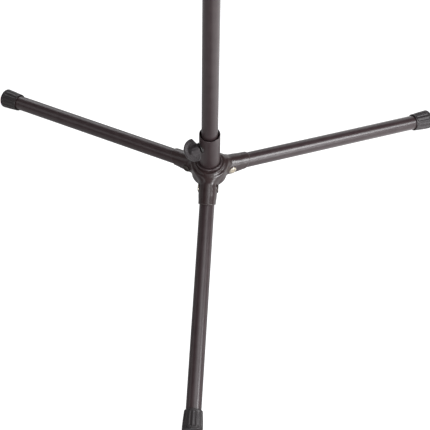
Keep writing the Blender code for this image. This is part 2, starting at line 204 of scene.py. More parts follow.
def turned(profile, segments=ROUND, matrix=Matrix()):
    """Vertices and faces of a profile of (radius, height) spun about Z, closed unless it ends on the axis."""
    on_axis = profile[0][0] == 0.0 and profile[-1][0] == 0.0
    vertices, rings = [], []
    for radius, height in profile:
        if radius == 0.0:
            rings.append([len(vertices)] * segments)
            vertices.append((0.0, 0.0, height))
            continue
        rings.append(list(range(len(vertices), len(vertices) + segments)))
        vertices += circle(radius, segments, height)
    pairs = list(zip(rings, rings[1:])) + ([] if on_axis else [(rings[-1], rings[0])])
    faces = []
    for low, high in pairs:
        for i in range(segments):
            j = (i + 1) % segments
            face = [low[i], low[j], high[j], high[i]]
            face = [v for k, v in enumerate(face) if v not in face[:k]]
            if len(face) > 2:
                faces.append(face)
    vertices = [matrix @ Vector(v) for v in vertices]
    return vertices, faces


def ring_faces(rows, around, closed=False):
    """Quads between rings of vertices in a row; closed also joins the last ring to the first."""
    faces = []
    for i in range(rows if closed else rows - 1):
        a, b = i * around, (i + 1) % rows * around
        for j in range(around):
            k = (j + 1) % around
            faces.append((a + j, a + k, b + k, b + j))
    return faces


def arc(centre, radius, start, end, steps=5):
    """Points of an arc in a profile, angles in degrees from +radius towards +height."""
    return [(centre[0] + radius * math.cos(math.radians(start + (end - start) * i / steps)),
             centre[1] + radius * math.sin(math.radians(start + (end - start) * i / steps)))
            for i in range(steps + 1)]


def stretch(points, most):
    """Adds points so that no straight run of a profile is longer than most."""
    result = [points[0]]
    for a, b in zip(points, points[1:]):
        count = max(1, math.ceil(math.dist(a, b) / most))
        result += [(a[0] + (b[0] - a[0]) * i / count, a[1] + (b[1] - a[1]) * i / count)
                   for i in range(1, count + 1)]
    return result


# ---------------------------------------------------------------- fields and their surfaces

def blend_union(a, b, width):
    """Fields a and b joined, the corner between them rounded over width."""
    share = np.maximum(width - np.abs(a - b), 0.0) / width
    return np.minimum(a, b) - share * share * width / 4


def blend_cut(a, b, width):
    """Field a with field b taken away, its new edges rounded."""
    return -blend_union(-a, b, width)


def both(a, b, width):
    """What lies inside field a and field b, its new edges rounded."""
    return -blend_union(-a, -b, width)


def drum_field(radial, height, radius, low, high, edge):
    """A round disc with rounded edges."""
    outward = radial - radius + edge
    upward = np.abs(height - (low + high) / 2) - (high - low) / 2 + edge
    outside = np.hypot(np.maximum(outward, 0), np.maximum(upward, 0))
    return outside + np.minimum(np.maximum(outward, upward), 0) - edge


def surface_net(field, low, high, step):
    """Closed quads of the surface where field is zero, settled onto it."""
    low = np.array(low)
    counts = np.ceil((np.array(high) - low) / step).astype(int) + 1
    axes = [low[k] + step * np.arange(counts[k]) for k in range(3)]
    values = field(*np.meshgrid(*axes, indexing="ij"))
    cells = np.array(values.shape) - 1
    total, hits, quads = np.zeros((cells.prod(), 3)), np.zeros(cells.prod()), []
    for axis in range(3):
        u, v = (axis + 1) % 3, (axis + 2) % 3
        a = np.take(values, range(cells[axis]), axis)
        b = np.take(values, range(1, cells[axis] + 1), axis)
        place = np.argwhere((a < 0) != (b < 0))
        inner = (place[:, u] > 0) & (place[:, v] > 0) & (place[:, u] < cells[u]) & (place[:, v] < cells[v])
        place = place[inner]
        near, far = a[tuple(place.T)], b[tuple(place.T)]
        crossing = low + place * step
        crossing[:, axis] += step * near / (near - far)
        corners = []
        for du, dv in ((0, 0), (1, 0), (1, 1), (0, 1)):
            cell = place.copy()
            cell[:, u] -= du
            cell[:, v] -= dv
            index = np.ravel_multi_index(cell.T, cells)
            np.add.at(total, index, crossing)
            np.add.at(hits, index, 1)
            corners.append(index)
        quad = np.stack(corners, 1)
        quads.append(np.where((near < 0)[:, None], quad, quad[:, ::-1]))
    quads = np.concatenate(quads)
    used, faces = np.unique(quads, return_inverse=True)
    points = total[used] / hits[used][:, None]
    return settle(points, field, step), faces.reshape(quads.shape)


def settle(points, field, step, rounds=3):
    """Moves points along the field's slope onto its zero surface."""
    reach = step * 0.2
    for _ in range(rounds):
        value = field(*points.T)
        slope = np.stack([(field(*(points + shift).T) - field(*(points - shift).T)) / (2 * reach)
                          for shift in np.eye(3) * reach], 1)
        move = slope * (value / np.maximum((slope ** 2).sum(1), 0.05))[:, None]
        length = np.linalg.norm(move, axis=1, keepdims=True)
        points = points - move * np.minimum(1.0, 0.5 * step / np.maximum(length, 1e-12))
    return points


# ---------------------------------------------------------------- materials

def node(tree, kind, **settings):
    """A shader node with some inputs or properties set."""
    made = tree.nodes.new(kind)
    for key, value in settings.items():
        if key in made.inputs:
            made.inputs[key].default_value = value
        else:
            setattr(made, key, value)
    return made


def base_material(name, roughness, metallic=0.0, specular=0.5):
    """A plain material, its node tree and shader, and the object's coordinates."""
    mat = bpy.data.materials.new(name)
    mat.use_nodes = True
    tree = mat.node_tree
    shader = tree.nodes["Principled BSDF"]
    shader.inputs["Roughness"].default_value = roughness
    shader.inputs["Metallic"].default_value = metallic
    shader.inputs["Specular IOR Level"].default_value = specular
    place = tree.nodes.new("ShaderNodeTexCoord").outputs["Object"]
    return mat, tree, shader, place


def noise(tree, place, scale, detail=3.0, stretch_by=None):
    """Noise in object space; scale is features per metre."""
    if stretch_by:
        mapping = tree.nodes.new("ShaderNodeMapping")
        mapping.inputs["Scale"].default_value = stretch_by
        tree.links.new(place, mapping.inputs["Vector"])
        place = mapping.outputs["Vector"]
    made = node(tree, "ShaderNodeTexNoise", Scale=scale, Detail=detail)
    tree.links.new(place, made.inputs["Vector"])
    return made.outputs["Fac"]


def ramp(tree, source, low, high, dark, light):
    """Maps source from low..high onto a run between two colours."""
    made = tree.nodes.new("ShaderNodeValToRGB")
    made.color_ramp.elements[0].position = low
    made.color_ramp.elements[0].color = (*dark, 1.0)
    made.color_ramp.elements[1].position = high
    made.color_ramp.elements[1].color = (*light, 1.0)
    tree.links.new(source, made.inputs["Fac"])
    return made.outputs["Color"]


def spread(tree, source, low, high):
    """Maps a 0..1 value onto low..high."""
    made = node(tree, "ShaderNodeMapRange")
    made.inputs["To Min"].default_value = low
    made.inputs["To Max"].default_value = high
    tree.links.new(source, made.inputs["Value"])
    return made.outputs["Result"]


def bump(tree, shader, source, strength, distance, after=None):
    """Bump from source, on top of an earlier bump if there is one."""
    made = node(tree, "ShaderNodeBump", Strength=strength, Distance=distance)
    tree.links.new(source, made.inputs["Height"])
    if after:
        tree.links.new(after, made.inputs["Normal"])
    tree.links.new(made.outputs["Normal"], shader.inputs["Normal"])
    return made.outputs["Normal"]


def mixed(tree, factor, first, second, kind="MIX"):
    """Two colours mixed; each value is a number, a colour or a socket."""
    made = node(tree, "ShaderNodeMix", data_type="RGBA", blend_type=kind)
    sockets = made.inputs[0], made.inputs[6], made.inputs[7]
    for value, socket in zip((factor, first, second), sockets):
        if isinstance(value, (int, float)):
            socket.default_value = value
        elif isinstance(value, tuple):
            socket.default_value = (*value, 1.0)
        else:
            tree.links.new(value, socket)
    return made.outputs[2]


BLACK = (0.0, 0.0, 0.0)
WHITE = (1.0, 1.0, 1.0)
WORN_EDGE_AND_HIGHLIGHT = (0.17, 0.15, 0.14)      # the coat at its convex edges: worn paint, and a painted highlight along the edges


def powder_coat(name, dark, light, roughness):
    """Satin powder coat: a fine orange peel, soft tone changes, and paler convex edges that are partly worn
    paint and partly a painted highlight along the edges.
    """
    mat, tree, shader, place = base_material(name, roughness, specular=0.55)
    tone = ramp(tree, noise(tree, place, 90.0, 4.0), 0.3, 0.7, dark, light)
    edges = tree.nodes.new("ShaderNodeNewGeometry").outputs["Pointiness"]
    # Convex edges are paled: partly worn paint, partly a painted highlight along the edges.
    worn_and_highlight = mixed(tree, ramp(tree, edges, 0.54, 0.60, BLACK, WHITE), tone, WORN_EDGE_AND_HIGHLIGHT)
    speck = ramp(tree, noise(tree, place, 2600.0, 1.0), 0.62, 0.75, BLACK, WHITE)
    flecks = mixed(tree, speck, BLACK, (0.012, 0.011, 0.011))
    colour = mixed(tree, 1.0, worn_and_highlight, flecks, "ADD")
    tree.links.new(colour, shader.inputs["Base Color"])
    tree.links.new(spread(tree, noise(tree, place, 240.0), roughness - 0.035, roughness + 0.035),
                   shader.inputs["Roughness"])
    peel = bump(tree, shader, noise(tree, place, 1500.0, 2.0), 0.25, 0.00006)
    bump(tree, shader, noise(tree, place, 5200.0, 1.0), 0.12, 0.00002, peel)
    shader.inputs["Coat Weight"].default_value = 0.12
    shader.inputs["Coat Roughness"].default_value = 0.35
    return mat


def moulded_plastic(name, dark, light, roughness):
    """Moulded nylon: a fine spark-eroded grain and a slightly uneven sheen."""
    mat, tree, shader, place = base_material(name, roughness, specular=0.45)
    tone = ramp(tree, noise(tree, place, 160.0, 3.0), 0.3, 0.7, dark, light)
    tree.links.new(tone, shader.inputs["Base Color"])
    tree.links.new(spread(tree, noise(tree, place, 420.0), roughness - 0.07, roughness + 0.07),
                   shader.inputs["Roughness"])
    bump(tree, shader, noise(tree, place, 2800.0, 3.0), 0.35, 0.00005)
    return mat


def foot_rubber(name):
    """Dull rubber with a dusty bloom and scuffs."""
    mat, tree, shader, place = base_material(name, 0.44, specular=0.5)
    tone = ramp(tree, noise(tree, place, 120.0, 4.0), 0.3, 0.7,
                (0.019, 0.0145, 0.0155), (0.032, 0.026, 0.027))
    dust = ramp(tree, noise(tree, place, 700.0, 5.0), 0.58, 0.78, BLACK, (0.010, 0.009, 0.009))
    tree.links.new(mixed(tree, 1.0, tone, dust, "ADD"), shader.inputs["Base Color"])
    tree.links.new(spread(tree, noise(tree, place, 300.0), 0.36, 0.50), shader.inputs["Roughness"])
    bump(tree, shader, noise(tree, place, 1800.0, 4.0), 0.2, 0.00005)
    return mat


def plated_metal(name, colour, roughness):
    """Warm nickel plate with fine turning marks and a few dull spots."""
    mat, tree, shader, place = base_material(name, roughness, metallic=1.0)
    dull = tuple(c * 0.72 for c in colour)
    tone = ramp(tree, noise(tree, place, 700.0, 4.0), 0.3, 0.65, dull, colour)
    tree.links.new(tone, shader.inputs["Base Color"])
    tree.links.new(spread(tree, noise(tree, place, 1200.0, 2.0), roughness - 0.08, roughness + 0.14),
                   shader.inputs["Roughness"])
    bump(tree, shader, noise(tree, place, 4000.0, 2.0), 0.15, 0.00002)
    return mat


def velour(name):
    """Short black pile: soft sheen, brushed patches and a fuzzy surface."""
    mat, tree, shader, place = base_material(name, 0.95, specular=0.15)
    brushed = noise(tree, place, 70.0, 2.0, (1.0, 1.0, 0.4))
    pile = noise(tree, place, 2400.0, 2.0)
    tone = ramp(tree, brushed, 0.35, 0.65, (0.010, 0.010, 0.011), (0.022, 0.021, 0.023))
    tips = ramp(tree, pile, 0.45, 0.8, BLACK, (0.018, 0.017, 0.018))
    tree.links.new(mixed(tree, 1.0, tone, tips, "ADD"), shader.inputs["Base Color"])
    shader.inputs["Sheen Weight"].default_value = 0.6
    shader.inputs["Sheen Roughness"].default_value = 0.45
    shader.inputs["Sheen Tint"].default_value = (0.55, 0.53, 0.56, 1.0)
    soft = bump(tree, shader, brushed, 0.3, 0.0008)
    bump(tree, shader, pile, 0.8, 0.00025, soft)
    return mat


def thread_material(name):
    """Twisted sewing thread."""
    mat, tree, shader, place = base_material(name, 0.8, specular=0.3)
    tone = ramp(tree, noise(tree, place, 3000.0), 0.3, 0.7, (0.03, 0.03, 0.032), (0.075, 0.07, 0.075))
    tree.links.new(tone, shader.inputs["Base Color"])
    bump(tree, shader, noise(tree, place, 5000.0), 0.5, 0.0001)
    return mat


COAT = powder_coat("powder_coat", (0.033, 0.0195, 0.0210), (0.045, 0.0295, 0.0310), 0.31)
CAST = powder_coat("cast_coat", (0.027, 0.0145, 0.0145), (0.037, 0.0225, 0.0220), 0.29)
# The clamp boss's coat, darkened to about a third of the collar's: painted shade for the hollow between the
# knob and the collar.
SHADED_BOSS_COAT = powder_coat("boss_shaded_coat", (0.012, 0.010, 0.010), (0.020, 0.017, 0.016), 0.38)
NYLON = moulded_plastic("moulded_nylon", (0.026, 0.021, 0.0225), (0.040, 0.033, 0.035), 0.36)
LINER = moulded_plastic("liner_nylon", (0.012, 0.011, 0.011), (0.020, 0.018, 0.018), 0.55)
RUBBER = foot_rubber("foot_rubber")
ZINC = plated_metal("zinc_plate", (0.80, 0.72, 0.60), 0.28)
DULL_ZINC = plated_metal("dull_zinc", (0.115, 0.098, 0.088), 0.26)
VELOUR = velour("velour")
THREAD = thread_material("sewing_thread")


# ---------------------------------------------------------------- hub

def arm_field(x, y, z):
    """One hooded arm in a leg frame set on the shaft's axis: it rises and deepens towards the drum."""
    reach = ARM_REACH + MOUTH_LEAN * z
    width = np.interp(x, np.array([31.0, 38.0]) * MM, np.array([9.6, 9.1]) * MM)
    stations = np.array([0.0, 13.0, 19.0, 25.0, 31.0, 36.0, 45.0]) * MM
    height = np.interp(x, stations, np.array([11.5, 11.2, 10.9, 10.5, 9.9, 9.4, 9.1]) * MM)
    depth = np.interp(x, stations, np.array([6.0, 6.0, 5.6, 5.0, 4.0, 3.4, 2.8]) * MM)
    hood = np.where(z > 0, np.hypot(y, z * width / height), np.abs(y)) - width
    shape = both(hood, -z - depth, 1.6 * MM)
    mouth = (x - reach) / math.hypot(1.0, MOUTH_LEAN)
    return both(both(shape, mouth, 0.45 * MM), -x, 1.0 * MM)


def leg_hollow_field(x, y, z, drop):
    """What a leg clears in its arm; x, y, z from the pivot, drop down the folded leg."""
    ball = 9.16 * MM             # what the leg's inner end sweeps
    tunnel = np.maximum(np.where(z > 0, np.hypot(y, z), np.abs(y)) - LEG_ROOM, 1.3 * MM - x)
    pocket = np.maximum(np.sqrt(x * x + y * y + z * z) - ball, np.abs(y) - LEG_ROOM)
    return np.minimum(np.minimum(tunnel, pocket), drop)


def hub_field(x, y, z):
    """The casting: a drum with a shoulder, three arms blended into it, pivot seats and all hollows."""
    radial, height = np.hypot(x, y), z - LEG_ORIGIN_Z
    drum = drum_field(radial, height, 18.3 * MM, -9.0 * MM, 6.6 * MM, 1.3 * MM)
    shoulder = drum_field(radial, height, 14.4 * MM, -5.0 * MM, 10.0 * MM, 0.7 * MM)
    solid = blend_union(drum, shoulder, 3.0 * MM)
    hollows = []
    arms, bosses = None, None
    for side in SIDES:
        inverse = LEG_FRAMES[side].inverted()
        lx, ly, lz = (row[0] * x + row[1] * y + row[2] * z + row[3] for row in inverse[:3])
        arm = arm_field(lx + PIVOT_REACH, ly, lz)
        boss = drum_field(np.hypot(lx, lz), ly, BOSS_RADIUS, -BOSS_REACH, BOSS_REACH, 0.35 * MM)
        arms = arm if arms is None else np.minimum(arms, arm)
        bosses = boss if bosses is None else np.minimum(bosses, boss)
        pivot = LEG_FRAMES[side].translation
        hanging = np.maximum(np.hypot(x - pivot.x, y - pivot.y) - LEG_ROOM, z - pivot.z)
        hollows.append(leg_hollow_field(lx, ly, lz, hanging))
        hollows.append(np.maximum(np.hypot(lx, lz) - PIVOT_HOLE, np.abs(ly) - 13 * MM))
    fillet = np.interp(height, np.array([-9.0, -2.0, 4.0, 9.0]) * MM, np.array([2.5, 4.0, 8.0, 8.0]) * MM)
    solid = blend_union(solid, arms, fillet)
    solid = both(solid, height - 10.0 * MM, 0.6 * MM)
    solid = blend_union(solid, bosses, 0.9 * MM)
    for hollow in hollows:
        solid = blend_cut(solid, hollow, 0.5 * MM)
    seat = np.maximum(radial - COLLAR_SEAT, 1.7 * MM - height)
    return blend_cut(blend_cut(solid, seat, 0.4 * MM), radial - 8.95 * MM, 0.5 * MM)


def build_hub():
    """The hub casting in one piece."""
    low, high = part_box("hub_casting")
    margin = Vector((1, 1, 1)) * 1.2 * MM
    step = 0.5 * MM
    vertices, faces = surface_net(hub_field, low - margin, high + margin, step)
    add_mesh("hub_body", vertices, faces, CAST, "hub", ["hub_casting"], sharp=None, slot="coat")


def build_base_plug():
    """The plug that closes the hub from below."""
    low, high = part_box("hub_base_plug")
    radius, lip, stem = high.x, low.z + 0.7 * MM, 8.65 * MM
    profile = [(0.0, low.z), *stretch([(1.0 * MM, low.z), (radius - 0.5 * MM, low.z)], 2 * MM)]
    profile += arc((radius - 0.3 * MM, low.z + 0.3 * MM), 0.3 * MM, -90, 0, 4)
    profile += [(radius, lip), (stem, lip), (stem, high.z), (0.0, high.z)]
    add_mesh("base_plug", *turned(profile), NYLON, "hub", ["hub_base_plug"], slot="moulded")


# ---------------------------------------------------------------- collar and shaft

def shell(outer, inner, low, high, edge):
    """A tube's profile with rounded edges at both ends."""
    corners = ((outer - edge, low + edge), (outer - edge, high - edge),
               (inner + edge, high - edge), (inner + edge, low + edge))
    profile = []
    for k, corner in enumerate(corners):
        profile += arc(corner, edge, 90 * (k - 1), 90 * k, 4)
    return stretch(profile, 12 * MM)


def build_collar():
    """The collar tube with a rounded lip, and the stepped ring round its foot."""
    low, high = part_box("collar_tube")
    outer, inner, lip = high.x, COLLAR_BORE, 0.5 * MM
    profile = arc((outer - 0.2 * MM, low.z + 0.2 * MM), 0.2 * MM, -90, 0, 4)
    profile += arc((outer - lip, high.z - lip), lip, 0, 90, 6) + [(inner + 0.05 * MM, high.z)]
    profile += [(inner, high.z - 0.1 * MM), (inner, low.z + 0.1 * MM), (inner + 0.1 * MM, low.z)]
    vertices, faces = turned(stretch(profile, 12 * MM))
    add_mesh("collar", vertices, faces, COAT, "hub", ["collar_tube"], slot="coat")
    low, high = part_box("collar_flange")
    outer, inner, top, dip = high.x, COLLAR_SEAT, high.z, 0.35 * MM
    profile = [(inner, low.z), *arc((outer - 0.3 * MM, low.z + 0.3 * MM), 0.3 * MM, -90, 0, 3)]
    profile += arc((outer - 0.9 * MM, top - 0.9 * MM), 0.9 * MM, 0, 90, 6)
    profile += [(outer - 1.5 * MM, top), (outer - 1.75 * MM, top - dip), (inner + 0.2 * MM, top - dip),
                (inner, top - 0.5 * MM)]
    add_mesh("collar_ring", *turned(profile), COAT, "hub", ["collar_flange"], slot="coat")


def build_shaft():
    """The centre shaft's tube."""
    low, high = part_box("shaft_tube")
    profile = shell(high.x, high.x - TUBE_WALL, low.z, high.z, 0.25 * MM)
    add_mesh("centre_shaft", *turned(profile), COAT, "shaft", ["shaft_tube"], slot="coat")


# ---------------------------------------------------------------- wing knob

def smooth(share):
    """Eases a 0..1 value in and out."""
    return share * share * (3 - 2 * share)


def wing_field(x, y, z):
    """The knob in the clamp frame: a rimmed wing with a crescent groove, on a neck bored for the screw."""
    centre, reach, half = 17.2 * MM, 11.1 * MM, 12.0 * MM
    plate, rim_rise, groove_depth, dimple_depth = 1.35 * MM, 0.53 * MM, 0.55 * MM, 0.15 * MM
    flank_x, flank_y = 0.922, 0.387          # the way the wing's straight flanks face
    edge = (np.hypot((x - centre) / reach, y / half) - 1.0) * reach
    flank = (12.6 * MM - x) * flank_x + (np.abs(y) - 4.2 * MM) * flank_y
    outline = both(edge, flank, 1.2 * MM)
    rim = np.clip((outline + 1.5 * MM) / (0.5 * MM), 0.0, 1.0)
    groove = np.clip(1.5 - np.abs(edge + 3.8 * MM) / (0.9 * MM), 0.0, 1.0)
    groove = groove * np.clip((x - 17.5 * MM) / (2.0 * MM), 0.0, 1.0)
    from_dimple = np.hypot((x - 16.9 * MM) / (1.9 * MM), (np.abs(y) - 6.6 * MM) / (1.2 * MM))
    dimple = np.clip(1.6 - from_dimple, 0.0, 1.0)
    half_thickness = (plate + rim_rise * smooth(rim) - groove_depth * smooth(groove)
                      - dimple_depth * smooth(dimple))
    wing = both(outline, np.abs(z) - half_thickness, 0.6 * MM)
    radial = np.hypot(y, z)
    taper = 4.9 * MM - np.clip(x - 13.5 * MM, 0, 9 * MM) * 0.11
    neck = both(radial - taper, np.abs(x - 17.5 * MM) - 5.1 * MM, 2.4 * MM)
    face = np.maximum(neck, KNOB_FACE - x)
    body = both(blend_union(wing, face, 2.4 * MM), KNOB_FACE - x, 0.3 * MM)
    bore = np.maximum(radial - SCREW_HOLE, x - 19.8 * MM)
    return blend_cut(body, bore, 0.3 * MM)


def build_knob():
    """The wing knob at its rest angle."""
    low, high = Vector((11.6, -13.4, -5.8)) * MM, Vector((30.0, 13.4, 5.8)) * MM
    step = 0.24 * MM
    vertices, faces = surface_net(wing_field, low, high, step)
    vertices = [CLAMP_FRAME @ Vector(v) for v in vertices]
    add_mesh("wing_handle", vertices, faces, NYLON, "wing_knob", ["wing_knob"], sharp=None, slot="moulded")


def boss_field(x, y, z):
    """The clamp boss: a round pad saddled on the collar, bored for the screw."""
    radial = np.hypot(y, z)
    pad = both(radial - 5.7 * MM, x - 12.0 * MM, 1.1 * MM)
    saddle = np.maximum(pad, 10.5 * MM - np.hypot(x, y))
    return blend_cut(np.maximum(saddle, 9.1 * MM - x), radial - SCREW_HOLE, 0.4 * MM)


def build_clamp_boss():
    """The boss on the collar, level whatever the knob's angle."""
    low, high = Vector((7.4, -6.6, -6.6)) * MM, Vector((13.0, 6.6, 6.6)) * MM
    step = 0.25 * MM
    vertices, faces = surface_net(boss_field, low, high, step)
    level = CLAMP_FRAME @ Matrix.Rotation(KNOB_TURN, 4, "X")
    vertices = [level @ Vector(v) for v in vertices]
    # The boss wears the darkened coat: painted shade between the knob and the collar.
    add_mesh("clamp_boss", vertices, faces, SHADED_BOSS_COAT, "hub", ["clamp_insert"], sharp=None, slot="coat")


def build_clamp_screw():
    """The screw with its real thread crests."""
    start, end = span("clamp_screw", CLAMP_FRAME, 0)
    around, per_pitch = 48, 6
    rows = int((end - start - 2 * SCREW_PITCH) / SCREW_PITCH) * per_pitch
    vertices = []
    for i in range(rows + 1):
        along = start + SCREW_PITCH + SCREW_PITCH * i / per_pitch
        for j in range(around):
            phase = (along / SCREW_PITCH - j / around) % 1.0
            radius = SCREW_RADIUS - THREAD_DEPTH * (1.0 - abs(2 * phase - 1.0))
            angle = math.tau * j / around
            vertices.append((along, radius * math.cos(angle), radius * math.sin(angle)))
    faces = ring_faces(rows + 1, around)
    for row, tip, taper in ((0, start, 0.7), (rows, end, 0.8)):
        ring = [len(vertices) + j for j in range(around)]
        vertices += [(tip, y, z) for y, z, _ in circle(SCREW_RADIUS * taper, around)]
        for j in range(around):
            k = (j + 1) % around
            side = (row * around + j, ring[j], ring[k], row * around + k)
            faces.append(side if row else side[::-1])
        faces.append(ring[::-1] if row == 0 else ring)
    vertices = [CLAMP_FRAME @ Vector(v) for v in vertices]
    obj = add_mesh("threaded_screw", vertices, faces, DULL_ZINC, "clamp_screw", ["clamp_screw"], slot="zinc")
    face_outwards(obj)


def face_outwards(obj):
    """Turns every face of a closed piece outwards."""
    bm = bmesh.new()
    bm.from_mesh(obj.data)
    bmesh.ops.recalc_face_normals(bm, faces=bm.faces)
    bm.to_mesh(obj.data)
    bm.free()


# ---------------------------------------------------------------- legs

def build_leg(side):
    """A leg's tube, from its pivot to inside its foot."""
    matrix, cad_node = LEG_FRAMES[side], f"{side}_leg_tube"
    start, end = span(cad_node, matrix, 0)
    radius = span(cad_node, matrix, 1)[1]
    profile = shell(radius, radius - TUBE_WALL, start, end, 0.25 * MM)
    add_mesh(f"{side}_tube", *turned(profile, ROUND, matrix @ ALONG_X), COAT, f"{side}_leg", [cad_node],
             slot="coat")


def foot_radius(place):
    """The outer radius of a foot's ribs: a slow flare from the thin mouth to the end band."""
    marks = np.array([0.0, 0.4, 1.5, 5.0, 10.0, 15.0, 18.0, 21.0]) * MM
    sizes = np.array([9.1, 9.2, 9.35, 9.6, 10.0, 10.25, 10.4, 10.4]) * MM
    groove = 0.4 * MM * max(0.0, 1.0 - abs(place - FOOT_GROOVE) / (0.55 * MM))
    return np.interp(place, marks, sizes) - groove


def rib_dip(angle, place):
    """How deep the hollows between the ribs are; they fade out at both ends."""
    wave = 0.5 - 0.5 * math.cos(FOOT_RIBS * angle)
    hollow = min(1.0, wave * 1.5)
    start = min(max((place - 1.6 * MM) / (1.4 * MM), 0.0), 1.0)
    finish = min(max((17.9 * MM - place) / (0.8 * MM), 0.0), 1.0)
    return RIB_DEPTH * smooth(hollow) * start * finish


def build_foot(side):
    """A rubber cup: countersunk mouth, flared ribs, a groove and a smooth end band, flat on the floor."""
    matrix = LEG_FRAMES[side]
    start = span(f"{side}_foot", matrix, 0)[0]
    sole, around, rib_rows, shoulder_rows = start + FOOT_LENGTH, FOOT_RIBS * 12, 46, 8
    first_ring, last_ring = 0.35 * MM, FOOT_LENGTH - FOOT_SHOULDER
    inside = [(FOOT_BORE_DEPTH, FOOT_BORE), (2.4 * MM, FOOT_BORE), (1.9 * MM, FOOT_BORE + 0.1 * MM),
              (0.25 * MM, 8.8 * MM), (0.02 * MM, 8.9 * MM), (0.12 * MM, 9.05 * MM)]
    rows = [(start + place, radius, False) for place, radius in inside]
    for i in range(rib_rows + 1):
        place = first_ring + (last_ring - first_ring) * i / rib_rows
        rows.append((start + place, foot_radius(place), True))
    for radius, along in arc((8.9 * MM, start + last_ring), FOOT_SHOULDER, 0, 90, shoulder_rows)[1:]:
        rows.append((along, radius, False))
    rows += [(sole, 5.6 * MM, False), (sole, 2.8 * MM, False)]
    vertices = []
    for along, radius, ribbed in rows:
        for j in range(around):
            angle = math.tau * j / around
            r = radius - (rib_dip(angle, along - start) if ribbed else 0.0)
            vertices.append(matrix @ Vector((along, r * math.cos(angle), r * math.sin(angle))))
    faces = ring_faces(len(rows), around)
    inner, outer = len(vertices), len(vertices) + 1
    vertices += [matrix @ Vector((start + FOOT_BORE_DEPTH, 0, 0)), matrix @ Vector((sole, 0, 0))]
    last = (len(rows) - 1) * around
    for j in range(around):
        k = (j + 1) % around
        faces += [(j, k, inner), (last + k, last + j, outer)]
    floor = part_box(f"{side}_foot")[0].z
    for v in vertices:
        v.z = max(v.z, floor)
    obj = add_mesh(f"{side}_rubber_foot", vertices, faces, RUBBER, f"{side}_leg", [f"{side}_foot"],
                   sharp=50.0, slot="rubber")
    face_outwards(obj)


def build_pivot(side):
    """A leg's pivot: a hollow barrel with a dished head, closed by a screw with a domed, socketed head."""
    matrix = LEG_FRAMES[side] @ ALONG_Y
    radius, seat, top, crown = 4.3 * MM, 9.75 * MM, 10.8 * MM, 0.55 * MM
    bore, stem, pin = 1.5 * MM, 2.2 * MM, 1.2 * MM
    barrel = [(0.0, 6.0 * MM), (bore, 6.0 * MM), (bore, -9.0 * MM), (stem, -9.0 * MM), (stem, seat)]
    barrel += [(radius, seat), (radius, top - crown), *arc((radius - crown, top - crown), crown, 0, 90, 5)]
    barrel += [(3.1 * MM, top), (2.8 * MM, top - 0.7 * MM), (0.0, top - 0.8 * MM)]
    obj = add_mesh(f"{side}_barrel_nut", *turned(barrel, 48, matrix), DULL_ZINC, "hub",
                   [f"{side}_pivot_barrel"], slot="zinc")
    face_outwards(obj)
    dome = [(radius, seat), (radius, seat + 0.35 * MM), (3.9 * MM, top - 0.35 * MM),
            (3.0 * MM, top - 0.05 * MM), (1.7 * MM, top + 0.05 * MM), (1.5 * MM, top - 0.5 * MM),
            (0.0, top - 0.5 * MM)]
    screw = [(0.0, 5.5 * MM), (pin, 5.5 * MM), (pin, -seat)] + [(r, -h) for r, h in dome]
    obj = add_mesh(f"{side}_barrel_screw", *turned(screw, 48, matrix), ZINC, "hub", [f"{side}_pivot_screw"],
                   slot="zinc")
    face_outwards(obj)


# ---------------------------------------------------------------- bell peg

def build_peg_flange():
    """The bell's seat: a short skirt that flares into a round plate."""
    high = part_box("peg_flange")[1]
    bore, edge = 8.75 * MM, high.x
    skirt, top = high.z - 14.0 * MM, high.z
    profile = [(bore, skirt)] + arc((10.6 * MM, skirt + 0.8 * MM), 0.8 * MM, -90, 0, 4)
    profile += [(11.6 * MM, top - 8.0 * MM), (12.4 * MM, top - 6.2 * MM), (14.0 * MM, top - 5.1 * MM),
                (18.5 * MM, top - 4.2 * MM), (edge - 1.6 * MM, top - 3.7 * MM)]
    profile += arc((edge - 1.7 * MM, top - 1.9 * MM), 1.7 * MM, -80, 85, 10)
    profile += [(bore, top)]
    add_mesh("bell_flange", *turned(stretch(profile, 5 * MM)), NYLON, "shaft", ["peg_flange"], slot="moulded")


def build_peg_cap():
    """The cap on the peg's tip: a flat top, a rounded shoulder and a stem that enters the sleeve."""
    low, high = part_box("peg_tip_cap")
    radius, flat, drop, stem = high.x, 6.0 * MM, 5.2 * MM, 6.9 * MM
    rim = high.z - 8.0 * MM + 0.3 * MM
    profile = [(0.0, high.z), (2.0 * MM, high.z), (flat, high.z)]
    for degrees in range(10, 91, 10):
        turn = math.radians(degrees)
        profile.append((flat + (radius - flat) * math.sin(turn), high.z - drop * (1 - math.cos(turn))))
    profile += [(radius, rim + 0.3 * MM), (radius - 0.3 * MM, rim), (stem, rim), (stem, low.z), (0.0, low.z)]
    obj = add_mesh("peg_cap", *turned(profile), NYLON, "shaft", ["peg_tip_cap"], slot="moulded")
    face_outwards(obj)


# ---------------------------------------------------------------- fabric

COVER_AROUND = 112
COVER_ROWS = 64
HEM_ROWS = 4                     # held rows at each end of the cover
SIM_SCALE = 20.0                 # cloth settings suit a garment, so the cover is enlarged to be simulated
SIM_FRAMES = 20
SEAM_ANGLE = math.radians(90.0)  # the cover's seam faces backwards


